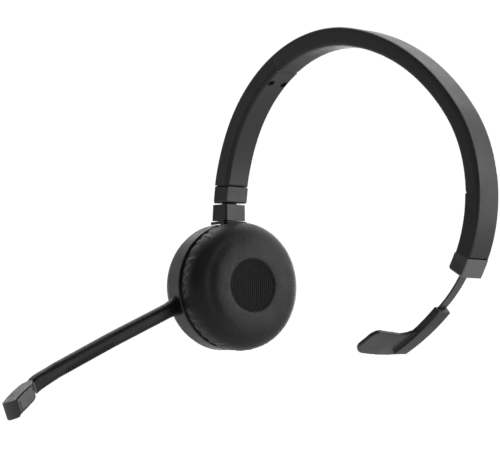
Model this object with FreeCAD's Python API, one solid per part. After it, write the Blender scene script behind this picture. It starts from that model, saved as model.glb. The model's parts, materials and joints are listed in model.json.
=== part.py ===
"""Single-ear wireless office headset with a boom microphone.

Row frame, millimetres: the origin is the point of the crown pad that rests on top of the head, +Z is
up, +X runs from the ear cup towards the temple pad and -Y is the way the wearer faces.
"""

import FreeCAD, Part
import math
import os

V = FreeCAD.Vector

# ---- headband ------------------------------------------------------------------------------------
# Each side of the band is a chain of tangent arcs, (radius, degrees turned), from the crown outwards.
OUTER_CROWN = (-0.7, 8.8)
OUTER_EAR_SIDE = [(75.7, 63.7), (98.5, 28.3)]
OUTER_TEMPLE_SIDE = [(75.7, 12.4), (110.5, 41.4), (66.4, 70.0)]
INNER_CROWN = (0.0, 0.0)
INNER_EAR_SIDE = [(66.0, 64.4), (89.4, 28.0)]
INNER_TEMPLE_SIDE = [(66.0, 8.8), (97.8, 44.2), (59.4, 70.5)]
BAND_WIDTH = 13.7
STRIP_DEPTH = 2.2          # thickness of the outer strip, and of the arm's inner cover
ARM_WALL = 1.8
COVER_STEP = 0.15            # how far the arm's shell stands out past its inner cover, on each side
SPRING_THICKNESS = 0.8
SPRING_WIDTH = 8.0

# Stations along the band: the angle in degrees by which it has turned from the crown.
ARM_END = 80.0
ARM_SEAM = 29.0
SPRING_EAR_END = 33.0
SPRING_TEMPLE_END = -87.0
PAD_END = -90.0
SLOT_START = -79.0          # inner end of the temple strip's slot
CAP_START = -115.3
CAP_END = -123.0

# ---- temple side ---------------------------------------------------------------------------------
TEMPLE_STRIP_RADIUS = 61.95
TEMPLE_STRIP = (0.9, 4.4)  # thickness and width
TEMPLE_STRIP_START = -98.0
TEMPLE_STRIP_END = -150.0
STEM_TOP = (67.5, -125.8)
STEM_SLOPE = 41.0          # degrees below the horizontal at the stem's top
STEM_RADIUS = 125.0
STEM_TURN = 15.4
STEM_THICKNESS = 3.7
STEM_WIDTH = 8.0
PADDLE_THICKNESS = 1.7
PADDLE_STEP = 1.6          # how far the stem stands out of the paddle's outer face
PADDLE_ORIGIN = (44.1, -140.2)
PADDLE_SLOPE = 33.0

# ---- ear side ------------------------------------------------------------------------------------
SLIDER_RADIUS = 93.5
SLIDER_STRIP = (1.2, 8.0)
SLIDER_TOP = 55.0
BLOCK_WIDTH = 13.0
UPPER_BLOCK_BOTTOM = -68.7
GAP = 0.7
LOWER_BLOCK_BOTTOM = -77.3
SWIVEL_X = -73.4
POST_RADIUS = 3.6
SHAFT_RADIUS = 2.0
STUB_LENGTH = 2.3
RUNNING = 0.05             # radial running clearance of shafts and rings
CLEAR = 0.4                # clearance between pieces that slide past each other

# ---- ear cup: local frame with z along the cup's axis towards the head, y up and x to the rear ----
CUP_CENTRE_Z = -109.6
CUP_TOE = 8.5              # the cup faces this much forward of straight across the head
FRONT = 20.6               # height of the cushion's front face above the swivel axis
CUSHION_RADIUS = 31.8
CUSHION_BACK = 6.8
SOUND_RADIUS = 12.4
FLANGE_RADIUS = 29.8
FLANGE = (2.6, 6.6)
RING_RADIUS = 30.85
RING = (-7.6, 2.4)
SLEEVE_RADIUS = 27.95
SLEEVE_WALL = 2.0
COVER = (-13.5, -7.8)
COVER_RADIUS = 30.2
COVER_ROUND = 5.6
COVER_WALL = 1.5
TILT_PIN = (34.9, 0.0)     # y and z of the tilt pin's axis, in the ear cup's frame
TILT_PIN_RADIUS = 0.8
COLLAR = (31.2, 31.85)     # y of the collar plate that bridges the boom ring
CALL_RADIUS = 8.0
BUTTON_CLEARANCE = 0.25

# ---- boom: coordinates forward and down from the cup's centre, in the plane across its axis -------
BOOM_PLANE = -2.6
BOOM_ROOT = (28.6, -9.7)
BOOM_FLEX_START = (66.0, -26.9)
BOOM_ARM_TIP = (66.5, -27.13)  # the arm is drawn to here and cut square to the flexible part
BOOM_FLEX_END = (93.0, -40.1)
BOOM_SECTION = (7.2, 6.2)  # height and width
BOOM_FLARE = (24.0, 36.0, 8.2)  # the arm grows this much higher between 36 and 24 mm forward
# Evenly spaced sections: forward, up, slope below the horizontal, height, width, corner radius.
NECK_SECTIONS = [
    (93.0, -40.1, 26.05, 7.2, 6.2, 2.6),
    (96.75, -42.05, 25.2, 7.2, 6.2, 2.6),
    (100.45, -44.1, 24.0, 7.2, 6.2, 2.3),
    (104.2, -46.2, 22.2, 7.2, 6.2, 1.8),
    (107.7, -48.95, 20.3, 6.7, 6.3, 1.2),
]
# Head, in its own axes: distance along it, height of its top and bottom face, near and far side,
# radius of the upper and lower corners.
HEAD_SECTIONS = [
    (118.0, -5.2, -11.9, 3.15, -3.15, 1.2, 1.2),
    (119.2, -5.7, -12.6, 3.75, -4.3, 0.9, 1.0),
    (120.4, -6.15, -13.3, 4.8, -5.7, 0.7, 0.9),
    (121.6, -6.55, -13.95, 5.1, -6.1, 0.6, 0.9),
    (125.2, -7.75, -15.6, 5.1, -6.1, 0.6, 1.2),
    (128.8, -9.25, -17.2, 5.1, -6.1, 0.6, 1.8),
    (132.4, -11.15, -19.6, 5.1, -6.1, 0.6, 2.4),
    (134.8, -12.6, -21.4, 5.1, -6.1, 0.6, 2.4),
]
HEAD_SIDES = (-6.1, 5.1)      # far and near side of the microphone head, across the boom's plane
HEAD_LEAN = 69.7              # slope of the head's end face below the horizontal, in degrees
MARK_CENTRE = (118.3, -54.4, -2.6)   # round groove on the head's upper face
RIB_COUNT = 27
RIB_DEPTH = 0.3


# ---- helpers -------------------------------------------------------------------------------------
def direction(station):
    """Unit vector from an arc's centre to the band at that station."""
    a = math.radians(station)
    return V(-math.sin(a), 0, math.cos(a))


def make_rail(crown, ear_side, temple_side):
    """Arcs (centre, radius, first station, last station) from the ear end to the temple end."""
    rail = []
    for sign, arcs in ((1, ear_side), (-1, temple_side)):
        station, side = 0.0, []
        point = V(crown[0], 0, crown[1])
        for radius, turn in arcs:
            centre = point - direction(station) * radius
            nxt = station + sign * turn
            side.append((centre, radius, max(station, nxt), min(station, nxt)))
            point = centre + direction(nxt) * radius
            station = nxt
        rail = side[::-1] + rail if sign > 0 else rail + side
    return rail


OUTER = make_rail(OUTER_CROWN, OUTER_EAR_SIDE, OUTER_TEMPLE_SIDE)
INNER = make_rail(INNER_CROWN, INNER_EAR_SIDE, INNER_TEMPLE_SIDE)
EAR_ARC_CENTRE = OUTER[0][0]
TEMPLE_ARC_CENTRE = OUTER[-1][0]
EAR_CAVITY_RADIUS = OUTER[0][1] - ARM_WALL


def on_rail(rail, station, depth=0.0):
    for centre, radius, high, low in rail:
        if low - 1e-6 <= station <= high + 1e-6:
            return centre + direction(station) * (radius - depth)
    raise ValueError("the rail does not reach station %s" % station)


def arc_edge(centre, radius, start, end):
    mid = centre + direction((start + end) / 2) * radius
    ends = [centre + direction(s) * radius for s in (start, end)]
    return Part.Arc(ends[0], mid, ends[1]).toShape()


def rail_edges(rail, start, end, depth):
    """Edges of the rail from station start down to station end, moved towards its centres by depth."""
    edges = []
    for centre, radius, high, low in rail:
        a, b = min(start, high), max(end, low)
        if a - b > 1e-6:
            edges.append(arc_edge(centre, radius - depth, a, b))
    return edges


def line(a, b):
    return Part.LineSegment(a, b).toShape()


def across(face, width, middle=0.0):
    """Extrudes a face that lies in the XZ plane to the given width about y = middle."""
    face.translate(V(0, middle - width / 2, 0))
    return face.extrude(V(0, width, 0))


def beyond(station, sign):
    """Prism on one side of the plane across the band at that station."""
    inner, outer = on_rail(INNER, station), on_rail(OUTER, station)
    u = (outer - inner).normalize()
    low, high = inner - u * 6, outer + u * 6
    step = V(-u.z, 0, u.x) * (14 * sign)
    return across(Part.Face(Part.makePolygon([low, high, high + step, low + step, low])), 40)


def between_rails(top_rail, top_depth, bottom_rail, bottom_depth, start, end, width):
    """Solid between two offset rails, ended by planes that all of the band's layers share."""
    first = min(start + 4, top_rail[0][2] - 0.05, bottom_rail[0][2] - 0.05)
    last = max(end - 4, top_rail[-1][3] + 0.05, bottom_rail[-1][3] + 0.05)
    top = rail_edges(top_rail, first, last, top_depth)
    bottom = rail_edges(bottom_rail, first, last, bottom_depth)
    ends = []
    for station in (first, last):
        below = on_rail(bottom_rail, station, bottom_depth)
        ends.append(line(below, on_rail(top_rail, station, top_depth)))
    wire = Part.Wire(Part.__sortEdges__([ends[0]] + top + [ends[1]] + bottom))
    return across(Part.Face(wire), width).cut(beyond(start, 1)).cut(beyond(end, -1))


def band_piece(start, end, outer_depth, inner_depth, width):
    """Solid between the outer rail and the inner rail, each moved inwards by its depth."""
    return between_rails(OUTER, outer_depth, INNER, inner_depth, start, end, width)


def rail_layer(start, end, near, far, width):
    """Solid layer of the outer rail between two depths."""
    return between_rails(OUTER, near, OUTER, far, start, end, width)


def inner_layer(start, end, thickness, width):
    """Solid layer that lies on the inner rail and is that thick towards the outer rail."""
    return between_rails(INNER, -thickness, INNER, 0, start, end, width)


def arc_strip(centre, radius, start, end, thickness, width):
    """Curved strip about one centre, with its middle at the given radius."""
    high, low = radius + thickness / 2, radius - thickness / 2
    edges = [
        arc_edge(centre, high, start, end),
        line(centre + direction(end) * high, centre + direction(end) * low),
        arc_edge(centre, low, end, start),
        line(centre + direction(start) * low, centre + direction(start) * high),
    ]
    return across(Part.Face(Part.Wire(edges)), width)


def along(shape, test):
    """The shape's edges that pass the test."""
    return [e for e in shape.Edges if test(e)]


def lies_on_side(edge, half_width):
    """An edge of a band piece's flat side, other than those of its end at the seam."""
    box_ = edge.BoundBox
    flat = box_.YLength < 1e-4 and abs(abs(box_.YMin) - half_width) < 1e-4
    seam = on_rail(OUTER, CAP_START, 4)
    away = edge.CenterOfMass - V(seam.x, edge.CenterOfMass.y, seam.z)
    return flat and away.Length > 2.5


def runs_along_side(edge, half_width):
    return all(abs(abs(v.Y) - half_width) < 1e-4 for v in edge.Vertexes) and len(edge.Vertexes) == 2


def is_outer_side(edge, half_width):
    """A long edge of a band piece where its outer face meets a side."""
    if not runs_along_side(edge, half_width):
        return False
    middle = edge.valueAt((edge.FirstParameter + edge.LastParameter) / 2)
    return distance_to_rail(OUTER, middle) < 0.05 and edge.Length > 3


def is_inner_side(edge, half_width):
    """A long edge of a band piece where its inner face meets a side."""
    if not runs_along_side(edge, half_width):
        return False
    middle = edge.valueAt((edge.FirstParameter + edge.LastParameter) / 2)
    return distance_to_rail(INNER, middle) < 0.05 and edge.Length > 3


def distance_to_rail(rail, point):
    flat = V(point.x, 0, point.z)
    return min(abs((flat - centre).Length - radius) for centre, radius, _, _ in rail)


def bowed_leaf(centre, wall, tip, start, end, thickness, width):
    """Leaf spring that stands on a wall at both ends and bows to the tip radius in the middle."""
    mid = (start + end) / 2
    rise = thickness if tip < wall else -thickness

    def at(station, radius):
        return centre + direction(station) * radius

    edges = [
        Part.Arc(at(start, wall), at(mid, tip + rise), at(end, wall)).toShape(),
        line(at(end, wall), at(end, wall - rise)),
        Part.Arc(at(end, wall - rise), at(mid, tip), at(start, wall - rise)).toShape(),
        line(at(start, wall - rise), at(start, wall)),
    ]
    return across(Part.Face(Part.Wire(edges)), width)


def box(low, high):
    size = [b - a for a, b in zip(low, high)]
    return Part.makeBox(size[0], size[1], size[2], V(*low))


def cylinder(radius, low, high, x=0.0, y=0.0):
    return Part.makeCylinder(radius, high - low, V(x, y, low))


def tube(outer, inner, low, high):
    return cylinder(outer, low, high).cut(cylinder(inner, low - 1, high + 1))


def rounded_box(low, high, radius, axis):
    """Box whose four edges along the given axis are rounded."""
    body = box(low, high)
    picked = [e for e in body.Edges if abs(abs(e.tangentAt(e.FirstParameter).dot(axis)) - 1) < 1e-6]
    return body.makeFillet(radius, picked)


def revolved(points):
    """Solid of revolution about z of an outline of (radius, height) points."""
    corners = [V(r, 0, z) for r, z in points]
    wire = Part.makePolygon(corners + corners[:1])
    return Part.Face(wire).revolve(V(0, 0, 0), V(0, 0, 1), 360)


TOE = math.radians(CUP_TOE)
CUP_N = V(math.cos(TOE), -math.sin(TOE), 0)
CUP_T = V(math.sin(TOE), math.cos(TOE), 0)
CUP_PLACE = FreeCAD.Placement(
    FreeCAD.Matrix(
        CUP_T.x, 0, CUP_N.x, SWIVEL_X,
        CUP_T.y, 0, CUP_N.y, 0,
        CUP_T.z, 1, CUP_N.z, CUP_CENTRE_Z,
        0, 0, 0, 1,
    )
)


def in_cup(shape):
    """Moves a shape from the ear cup's local frame to the row frame."""
    placed = shape.copy()
    placed.Placement = CUP_PLACE.multiply(placed.Placement)
    return placed


# ---- headband pieces -----------------------------------------------------------------------------
def arm_cavity():
    """Room inside the arm for the ear-side slider."""
    return band_piece(ARM_END - 3, ARM_SEAM + 2, ARM_WALL, -STRIP_DEPTH - 0.01, BAND_WIDTH - 2 * ARM_WALL)


def slider_slot(extra):
    thickness, width = SLIDER_STRIP
    return arc_strip(EAR_ARC_CENTRE, SLIDER_RADIUS, ARM_END + 2, SLIDER_TOP - 2,
                     thickness + 2 * extra, width + 2 * extra)


def screw_places():
    """Head centres of the two cover screws, side by side on the arm's inner face."""
    return [(on_rail(INNER, 36.5), direction(36.5), y) for y in (-4.1, 4.1)]


def radial_cylinder(radius, point, axis, y, low, high):
    return Part.makeCylinder(radius, high - low, V(point.x, y, point.z) + axis * low, axis)


def screw_holes(radius, low, high):
    return [radial_cylinder(radius, p, d, y, low, high) for p, d, y in screw_places()]


def arm_outer_shell():
    shell = band_piece(ARM_END, ARM_SEAM, 0, -STRIP_DEPTH, BAND_WIDTH)
    shell = shell.makeFillet(1.2, along(shell, lambda e: is_outer_side(e, BAND_WIDTH / 2)))
    shell = shell.cut(arm_cavity()).cut(slider_slot(CLEAR))
    for point, axis, y in screw_places():
        boss = radial_cylinder(1.9, point, axis, y, STRIP_DEPTH, 8.4)
        shell = shell.fuse(boss).cut(radial_cylinder(0.8, point, axis, y, STRIP_DEPTH - 1, 7.0))
    return shell.cut(spring_band(0.05))


def arm_inner_cover():
    width = BAND_WIDTH - 2 * COVER_STEP
    cover = inner_layer(ARM_END, ARM_SEAM, STRIP_DEPTH, width)
    cover = cover.makeFillet(1.0, along(cover, lambda e: is_inner_side(e, width / 2)))
    for hole in screw_holes(1.75, -1, 1.2) + screw_holes(1.0, -1, 4):
        cover = cover.cut(hole)
    return cover


def arm_cover_screws():
    screws = []
    for point, axis, y in screw_places():
        head = radial_cylinder(1.6, point, axis, y, 0.45, 1.2)
        shank = radial_cylinder(0.8, point, axis, y, 1.2, 6.6)
        recess = radial_cylinder(0.55, point, axis, y, 0, 0.9)
        screws.append(head.fuse(shank).cut(recess))
    return Part.makeCompound(screws)


def spring_band(extra=0.0):
    """Flat steel spring that gives the band its clamping force."""
    return rail_layer(SPRING_EAR_END + extra, SPRING_TEMPLE_END - extra, STRIP_DEPTH - extra,
                      STRIP_DEPTH + SPRING_THICKNESS + extra, SPRING_WIDTH + 2 * extra)


def outer_strip():
    strip = rail_layer(ARM_SEAM, CAP_START, 0, STRIP_DEPTH, BAND_WIDTH)
    return strip.makeFillet(1.2, along(strip, lambda e: is_outer_side(e, BAND_WIDTH / 2)))


def crown_pad():
    pad = band_piece(ARM_SEAM, PAD_END, STRIP_DEPTH, 0, BAND_WIDTH)
    pad = pad.makeFillet(1.2, along(pad, lambda e: is_inner_side(e, BAND_WIDTH / 2)))
    return pad.cut(spring_band()).cut(temple_slot(CLEAR))


def temple_slot(extra):
    thickness, width = TEMPLE_STRIP
    return arc_strip(TEMPLE_ARC_CENTRE, TEMPLE_STRIP_RADIUS, SLOT_START, CAP_END - 2,
                     thickness + 2 * extra, width + 2 * extra)


def temple_guide():
    guide = band_piece(PAD_END, CAP_START, STRIP_DEPTH, 0, BAND_WIDTH)
    guide = guide.makeFillet(1.2, along(guide, lambda e: is_inner_side(e, BAND_WIDTH / 2)))
    pocket = arc_strip(TEMPLE_ARC_CENTRE, TEMPLE_STRIP_RADIUS - 1.5, -102, -110, 1.8, 3.4)
    return guide.cut(temple_slot(CLEAR)).cut(pocket)


def temple_detent_spring():
    """Leaf that presses on the temple strip and holds it where it is put."""
    return bowed_leaf(TEMPLE_ARC_CENTRE, TEMPLE_STRIP_RADIUS - 2.4, TEMPLE_STRIP_RADIUS - 0.8,
                      -102.5, -109.5, 0.3, 3.2)


def end_cap():
    cap = band_piece(CAP_START, CAP_END, -0.05, 0.4, BAND_WIDTH - 0.2)
    corner = on_rail(INNER, CAP_END, 0.4)
    widthwise = along(cap, lambda e: abs(e.Length - (BAND_WIDTH - 0.2)) < 0.01)
    bottom = min(widthwise, key=lambda e: (e.CenterOfMass - corner).Length)
    cap = cap.makeFillet(1.5, [bottom])
    half = BAND_WIDTH / 2 - 0.1
    return cap.makeFillet(0.7, along(cap, lambda e: lies_on_side(e, half))).cut(temple_slot(CLEAR))


def ear_detent_spring():
    """Leaf inside the arm that presses on the ear-side slider."""
    return bowed_leaf(EAR_ARC_CENTRE, EAR_CAVITY_RADIUS, SLIDER_RADIUS + 0.95, 74, 66, 0.4, 6.0)


# ---- temple arm pieces ---------------------------------------------------------------------------
def stem_arc(depth, start=0.0, end=1.0):
    """Arc that follows the stem's outer face at a depth, between two shares of its length."""
    slope = math.radians(STEM_SLOPE)
    top = V(STEM_TOP[0], 0, STEM_TOP[1])
    centre = top + V(-math.sin(slope), 0, math.cos(slope)) * STEM_RADIUS
    points = []
    for share in (start, (start + end) / 2, end):
        a = math.radians(STEM_SLOPE - STEM_TURN * share)
        points.append(centre + V(math.sin(a), 0, -math.cos(a)) * (STEM_RADIUS - depth))
    return Part.Arc(*points).toShape(), points


def stem_layer(near, far, start, end, width, middle=0.0):
    """Solid that follows the stem between two depths."""
    low, low_points = stem_arc(near, start, end)
    high, high_points = stem_arc(far, end, start)
    edges = [low, line(low_points[2], high_points[0]), high, line(high_points[2], low_points[0])]
    return across(Part.Face(Part.Wire(edges)), width, middle)


def paddle_outline():
    """Prism that cuts the paddle's plan shape: points are (down the slope, y)."""
    a = math.radians(PADDLE_SLOPE)
    down = V(-math.cos(a), 0, -math.sin(a))
    normal = V(-math.sin(a), 0, math.cos(a))
    origin = V(PADDLE_ORIGIN[0], 0, PADDLE_ORIGIN[1]) - normal * 12

    def at(d, y):
        return origin + down * d + V(0, y, 0)

    edges = [
        Part.Arc(at(-12.0, -3.9), at(-9.4, -7.6), at(-8.6, -11.5)).toShape(),
        line(at(-8.6, -11.5), at(-10.3, -24.8)),
        Part.Arc(at(-10.3, -24.8), at(-9.3, -28.0), at(-6.0, -29.1)).toShape(),
        line(at(-6.0, -29.1), at(0.8, -29.1)),
        Part.Arc(at(0.8, -29.1), at(5.4, -25.9), at(8.0, -19.0)).toShape(),
        Part.Arc(at(8.0, -19.0), at(9.0, -9.0), at(8.2, 4.0)).toShape(),
        line(at(8.2, 4.0), at(-12.0, 4.0)),
        line(at(-12.0, 4.0), at(-12.0, -3.9)),
    ]
    return Part.Face(Part.Wire(edges)).extrude(normal * 24)


def temple_strip():
    thickness, width = TEMPLE_STRIP
    return arc_strip(TEMPLE_ARC_CENTRE, TEMPLE_STRIP_RADIUS, TEMPLE_STRIP_START, TEMPLE_STRIP_END,
                     thickness, width)


def temple_pad_core():
    """Stiff plate inside the soft pad, clinched to the end of the strip."""
    plate = stem_layer(PADDLE_STEP + 0.5, PADDLE_STEP + 1.2, 0.45, 0.93, 26, -10.5)
    a = math.radians(PADDLE_SLOPE)
    shrink = V(-math.cos(a), 0, -math.sin(a)) * 0.4 + V(0, 2.2, 0)
    outline = paddle_outline()
    smaller = outline.copy()
    smaller.translate(shrink)
    return plate.common(outline).common(smaller)


def temple_pad():
    stem = stem_layer(0, STEM_THICKNESS, 0, 0.55, STEM_WIDTH)
    ridge = stem_layer(0, PADDLE_STEP + PADDLE_THICKNESS, 0.5, 0.97, STEM_WIDTH)
    paddle = stem_layer(PADDLE_STEP, PADDLE_STEP + PADDLE_THICKNESS, 0.40, 1.35, 34, -13)
    paddle = paddle.common(paddle_outline())
    pad = stem.fuse([ridge, paddle]).removeSplitter()
    return pad.cut(temple_strip()).cut(temple_pad_core())


# ---- ear-side slider and hinge -------------------------------------------------------------------
def ear_slider_strip():
    thickness, width = SLIDER_STRIP
    return arc_strip(EAR_ARC_CENTRE, SLIDER_RADIUS, SLIDER_TOP, ARM_END + 1.5, thickness, width)


def upper_hinge_block():
    block = band_piece(91.0, ARM_END + 0.02, 0, 0, BLOCK_WIDTH)
    block = block.cut(box((-100, -20, -100), (-50, 20, UPPER_BLOCK_BOTTOM)))
    upright = along(block, lambda e: runs_along_side(e, BLOCK_WIDTH / 2) and e.Length > 8.2)
    block = block.makeFillet(1.0, upright)
    bore = Part.makeCylinder(SHAFT_RADIUS + RUNNING, 4.0, V(SWIVEL_X, 0, UPPER_BLOCK_BOTTOM - 0.5))
    seat = Part.makeCylinder(3.2, 2.0, V(SWIVEL_X, 0, UPPER_BLOCK_BOTTOM + 3.5))
    return block.cut(bore.fuse(seat)).cut(ear_slider_strip())


def swivel_post():
    """Collar that shows in the gap, with a shaft up into the upper block and a stub down."""
    gap_floor = UPPER_BLOCK_BOTTOM - GAP
    collar = Part.makeCylinder(POST_RADIUS, GAP - 0.1, V(SWIVEL_X, 0, gap_floor))
    shaft = Part.makeCylinder(SHAFT_RADIUS, 4.9, V(SWIVEL_X, 0, UPPER_BLOCK_BOTTOM - 0.1))
    stub = Part.makeCylinder(SHAFT_RADIUS, STUB_LENGTH, V(SWIVEL_X, 0, gap_floor - STUB_LENGTH))
    groove = Part.makeCylinder(5, 0.5, V(SWIVEL_X, 0, UPPER_BLOCK_BOTTOM + 4.0)).cut(
        Part.makeCylinder(1.5, 0.5, V(SWIVEL_X, 0, UPPER_BLOCK_BOTTOM + 4.0)))
    return collar.fuse([shaft, stub]).cut(groove)


def swivel_clip():
    """Retaining ring in the shaft's groove."""
    z = UPPER_BLOCK_BOTTOM + 4.05
    bore = Part.makeCylinder(1.5, 0.4, V(SWIVEL_X, 0, z))
    ring = Part.makeCylinder(2.7, 0.4, V(SWIVEL_X, 0, z)).cut(bore)
    return ring.cut(box((SWIVEL_X - 0.6, 0, z - 1), (SWIVEL_X + 0.6, 4, z + 1)))


def lower_hinge_block():
    top = UPPER_BLOCK_BOTTOM - GAP
    half = BLOCK_WIDTH / 2
    corners = [(-78.8, top), (-68.6, top), (-68.5, LOWER_BLOCK_BOTTOM), (-79.3, LOWER_BLOCK_BOTTOM)]
    wire = Part.makePolygon([V(x, -half, z) for x, z in corners + corners[:1]])
    block = Part.Face(wire).extrude(V(0, BLOCK_WIDTH, 0))
    block = block.makeFillet(1.0, along(block, lambda e: runs_along_side(e, half) and 7 < e.Length < 9))
    bore = Part.makeCylinder(SHAFT_RADIUS, STUB_LENGTH, V(SWIVEL_X, 0, top - STUB_LENGTH))
    pocket = box((-2.15, COLLAR[0], -3.8), (2.15, TILT_PIN[0] + 2.3, 3.8))
    return block.cut(bore).cut(in_cup(pocket)).cut(in_cup(tilt_pin()))


# ---- ear cup pieces, in the cup's local frame ----------------------------------------------------
def tilt_pin():
    return Part.makeCylinder(TILT_PIN_RADIUS, 11.0, V(-5.5, *TILT_PIN), V(1, 0, 0))


def cup_chassis():
    """Fixed frame of the ear cup: the sleeve that the boom ring turns on, flange and collar."""
    sleeve = tube(SLEEVE_RADIUS, SLEEVE_RADIUS - SLEEVE_WALL, RING[0] - 0.1, FLANGE[0])
    flange = tube(FLANGE_RADIUS, 18.2, FLANGE[0], FLANGE[1])
    neck = box((-5.8, 26.0, FLANGE[0]), (5.8, COLLAR[1], FLANGE[1]))
    collar = box((-7.0, 29.0, -5.9), (5.8, COLLAR[1], FLANGE[1] - 1.4))
    collar = collar.cut(cylinder(RING_RADIUS + 0.35, RING[0] - 1, RING[1] + 0.2))
    tongue = box((-1.7, COLLAR[0], -3.0), (1.7, TILT_PIN[0] + 1.7, 3.0))
    hole = Part.makeCylinder(TILT_PIN_RADIUS + RUNNING, 6.0, V(-3.0, *TILT_PIN), V(1, 0, 0))
    return sleeve.fuse([flange, neck, collar, tongue]).removeSplitter().cut(hole)


def cover_profile(shrink):
    """Rounded puck outline of the outer cover, moved inwards by shrink."""
    low, high = COVER
    radius, round_ = COVER_RADIUS - shrink, COVER_ROUND - shrink
    knee = radius - round_
    bottom = low + shrink
    c = math.cos(math.radians(45)) * round_
    edges = [
        line(V(0, 0, high), V(radius, 0, high)),
        line(V(radius, 0, high), V(radius, 0, bottom + round_)),
        Part.Arc(V(radius, 0, bottom + round_), V(knee + c, 0, bottom + round_ - c),
                 V(knee, 0, bottom)).toShape(),
        line(V(knee, 0, bottom), V(0, 0, bottom)),
        line(V(0, 0, bottom), V(0, 0, high)),
    ]
    return Part.Face(Part.Wire(edges)).revolve(V(0, 0, 0), V(0, 0, 1), 360)


def volume_button_place(sign):
    return (0.0, sign * 14.5)


def volume_button_prism(sign, extra, low, high):
    x, y = volume_button_place(sign)
    corner = 2.4 + extra
    return rounded_box((x - 6 - extra, y - 2.5 - extra, low), (x + 6 + extra, y + 2.5 + extra, high),
                       corner, V(0, 0, 1))


def power_slot(extra, travel, low, high):
    """Rounded slot or tab of the power switch, at the front edge of the outer face."""
    half = 2.2 + extra
    return rounded_box((-17.5 - 1.6 - extra, -half - travel / 2, low),
                       (-17.5 + 1.6 + extra, half + travel / 2, high), 1.4 + extra, V(0, 0, 1))


POWER_TRAVEL = 4.0
PORT_LOW = (-4.1, -31.0, -11.6)
PORT_HIGH = (4.1, -22.5, -8.6)


def outer_cover():
    """Outer shell of the ear cup with openings for the controls."""
    shell = cover_profile(0).cut(cover_profile(COVER_WALL))
    flange = tube(COVER_RADIUS - COVER_WALL + 0.3, 24.9, COVER[1] - 0.7, COVER[1])
    spigot = tube(SLEEVE_RADIUS - SLEEVE_WALL, 24.9, COVER[1] - 0.7, COVER[1] + 1.5)
    shell = shell.fuse([flange, spigot])
    low = COVER[0] - 1
    high = COVER[0] + COVER_WALL + 0.5
    shell = shell.cut(cylinder(CALL_RADIUS + BUTTON_CLEARANCE, low, high))
    for sign in (-1, 1):
        shell = shell.cut(volume_button_prism(sign, BUTTON_CLEARANCE, low, high))
    shell = shell.cut(power_slot(0.3, POWER_TRAVEL, low, high))
    shell = shell.cut(cylinder(0.9, low, high, 18.0, 0.0))
    return shell.cut(rounded_box(PORT_LOW, PORT_HIGH, 0.8, V(0, 1, 0)))


def call_button():
    disc = cylinder(CALL_RADIUS, COVER[0] - 0.2, COVER[0] + COVER_WALL)
    flange = cylinder(CALL_RADIUS + 1.0, COVER[0] + COVER_WALL + 0.1, COVER[0] + COVER_WALL + 0.6)
    neck = cylinder(CALL_RADIUS - 0.5, COVER[0] + COVER_WALL, COVER[0] + COVER_WALL + 0.1)
    dish = Part.makeSphere(60, V(0, 0, COVER[0] - 0.2 - 59.5))
    return disc.cut(dish).fuse([neck, flange]).removeSplitter()


def volume_button(sign):
    x, y = volume_button_place(sign)
    cap = volume_button_prism(sign, 0, COVER[0] - 0.2, COVER[0] + COVER_WALL + 0.1)
    base = COVER[0] + COVER_WALL + 0.1
    foot = box((x - 6.5, y - 3.2, base), (x + 6.5, y + 3.2, base + 0.5))
    return cap.fuse(foot).removeSplitter()


def power_slider():
    tab = power_slot(0, 0, COVER[0] - 0.25, COVER[0] + COVER_WALL)
    base = COVER[0] + COVER_WALL
    foot = box((-19.8, -4.8, base + 0.1), (-15.2, 4.8, base + 0.6))
    neck = box((-18.6, -1.8, base - 0.1), (-16.4, 1.8, base + 0.2))
    grips = [box((-19.5, y - 0.2, COVER[0] - 1), (-15.5, y + 0.2, COVER[0] - 0.05)) for y in (-0.9, 0, 0.9)]
    slider = tab.cut(Part.makeCompound(grips)).fuse([neck, foot]).removeSplitter()
    slider.translate(V(0, POWER_TRAVEL / 2, 0))
    return slider


def light_pipe():
    pipe = cylinder(0.85, COVER[0], COVER[0] + COVER_WALL + 0.8, 18.0, 0.0)
    return pipe.fuse(cylinder(1.4, COVER[0] + COVER_WALL, COVER[0] + COVER_WALL + 0.8, 18.0, 0.0))


BOARD = (-9.8, -8.8)


def screw_circle():
    """Places of the three screws round the board."""
    return [(22.0 * math.sin(math.radians(a)), 22.0 * math.cos(math.radians(a))) for a in (0, 120, 240)]


def circuit_board():
    board = cylinder(24.0, *BOARD)
    for x, y in screw_circle():
        board = board.cut(cylinder(1.0, BOARD[0] - 1, BOARD[1] + 1, x, y))
    return board.cut(box((-3.75, -26, BOARD[0] - 1), (3.75, -22.6, BOARD[1] + 1)))


def board_components():
    """Radio, processor and crystal on the board's outer side."""
    places = [(7.5, -9.0, 6.0, 6.0, 0.9), (-13.5, -9.5, 5.0, 5.0, 0.8), (12.5, 5.5, 3.2, 2.5, 0.7)]
    chips = [box((x, y, BOARD[0] - t), (x + w, y + h, BOARD[0])) for x, y, w, h, t in places]
    return Part.makeCompound(chips)


def button_domes():
    """Snap domes on the circuit board that the buttons press."""
    top = COVER[0] + COVER_WALL + 1.2
    places = [(0.0, 0.0)] + [volume_button_place(sign) for sign in (-1, 1)]
    return Part.makeCompound([cylinder(1.8, top, BOARD[0], x, y) for x, y in places])


def usb_port():
    """Charging socket: an open metal shell with a contact tongue."""
    low, high = (-3.75, -28.4, -11.4), (3.75, -22.6, -8.8)
    shell = box(low, high)
    inside = box((-3.45, -30.0, -11.1), (3.45, -23.1, -9.1))
    tongue = box((-2.4, -27.2, -10.35), (2.4, -23.1, -9.85))
    return shell.cut(inside).fuse(tongue).removeSplitter()


def battery():
    return rounded_box((-13.0, -10.0, BOARD[1]), (13.0, 10.0, BOARD[1] + 4.6), 1.5, V(0, 0, 1))


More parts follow.
